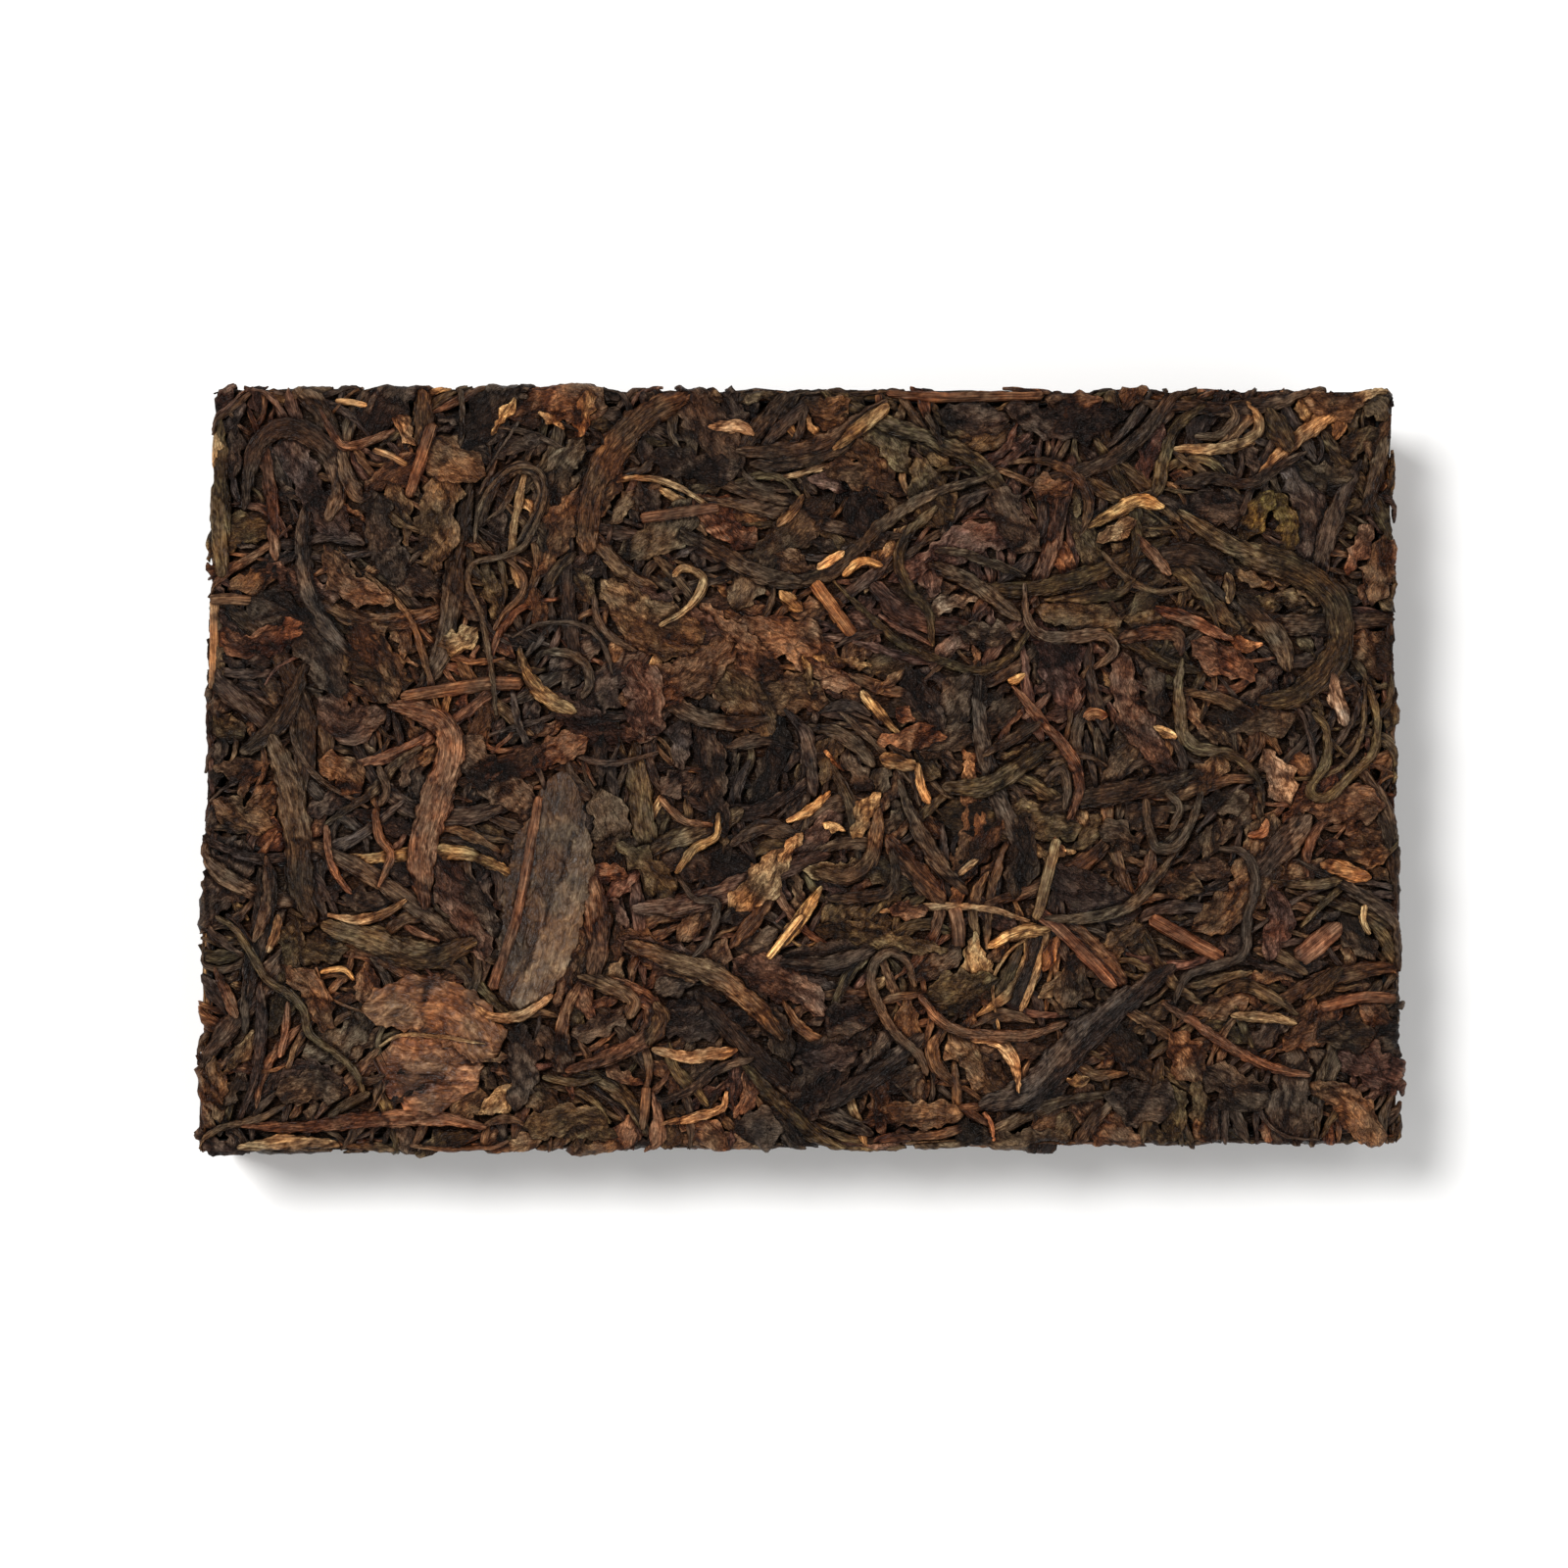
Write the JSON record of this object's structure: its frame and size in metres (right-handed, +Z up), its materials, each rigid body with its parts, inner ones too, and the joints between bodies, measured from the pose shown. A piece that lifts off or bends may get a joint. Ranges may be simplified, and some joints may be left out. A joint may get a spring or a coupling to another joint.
{
  "type": "tea brick",
  "caption": "Rectangular brick of dark tea, twisted and flat leaves and stems pressed in a mould into one solid block that lies flat.",
  "frame": {"origin": "centre of the brick's base, on the surface that it lies on", "axes": "+X along the brick's length, +Y along its width, +Z up through its thickness"},
  "size_m": [0.1406, 0.09, 0.022],
  "materials": {
    "pressed_leaf": "dry pressed tea leaf, dark brown with green, red and tan leaves, dull with a faint gloss"
  },
  "bodies": {
    "root": {"tea_brick": "pressed_leaf"}
  },
  "joints": []
}
